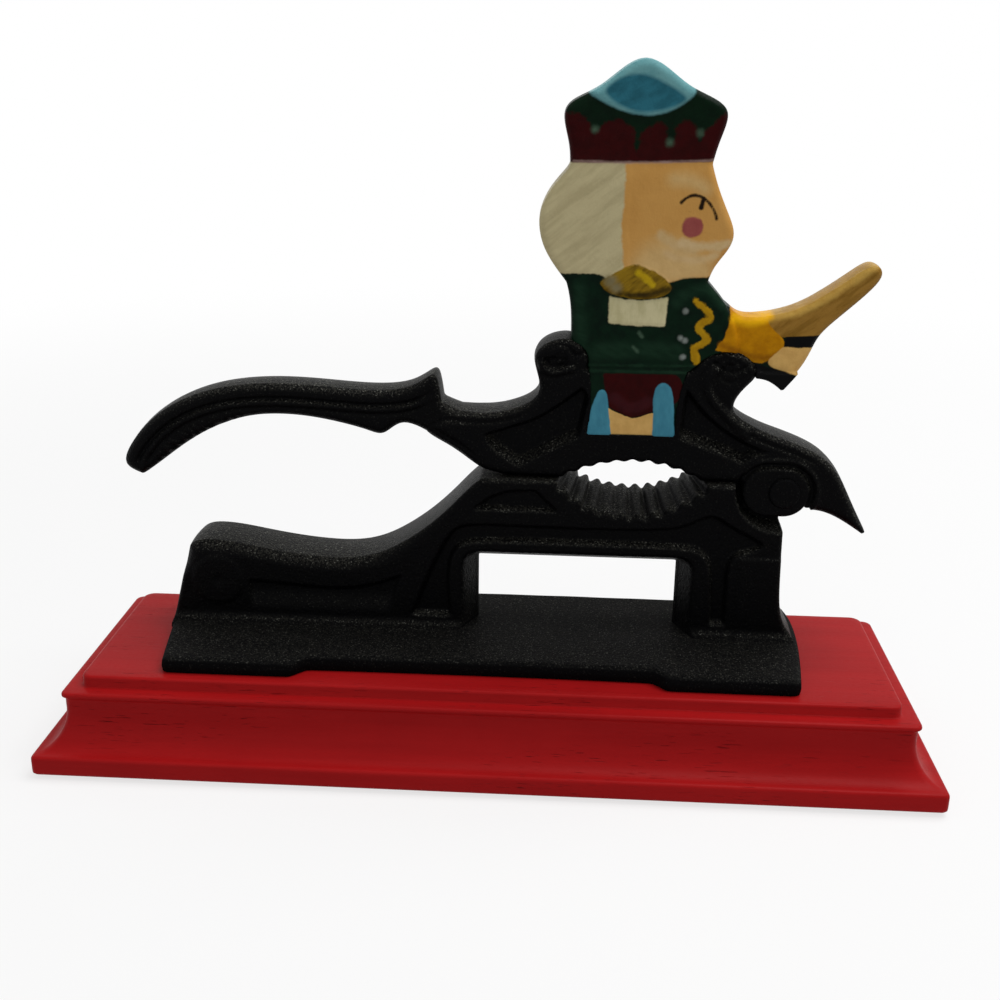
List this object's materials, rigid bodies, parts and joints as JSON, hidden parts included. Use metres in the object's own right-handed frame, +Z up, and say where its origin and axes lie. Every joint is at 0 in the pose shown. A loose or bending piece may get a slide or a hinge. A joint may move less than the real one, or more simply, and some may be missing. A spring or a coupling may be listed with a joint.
{
  "type": "lever nutcracker press",
  "caption": "Cast lever nutcracker press with a painted toy-soldier figure on the lever, a toothed nut seat in the base casting, and a moulded red wooden board.",
  "frame": {"origin": "middle of the footprint, on the plane of the felt pads' undersides", "axes": "+X along the board from the grip towards the hinge, +Y from the front to the rear, +Z up"},
  "size_m": [0.254, 0.083, 0.1936],
  "materials": {
    "red_wood": "satin red enamel over open-grained wood",
    "black_iron": "semi-gloss black enamel over a sand-cast surface",
    "painted_figure": "hand-painted gloss enamels in several colours over a sand-cast surface",
    "black_rivet": "black enamel",
    "zinc_steel": "zinc plated",
    "green_felt": "felt"
  },
  "bodies": {
    "base": {"wooden_base": "red_wood", "base_casting": "black_iron", "hinge_rivet": "black_rivet", "mounting_screws": "zinc_steel", "screw_washers": "zinc_steel", "felt_pad_front_left": "green_felt", "felt_pad_front_right": "green_felt", "felt_pad_rear_left": "green_felt", "felt_pad_rear_right": "green_felt"},
    "lever": {"lever_casting": "black_iron", "soldier_figure": "painted_figure"}
  },
  "joints": [
    {"name": "lever_hinge", "type": "hinge", "parent": "base", "child": "lever", "pos_m": [0.0832, 0.0115, 0.0762], "axis": [0, 1, 0], "range_deg": [0, 45]}
  ]
}
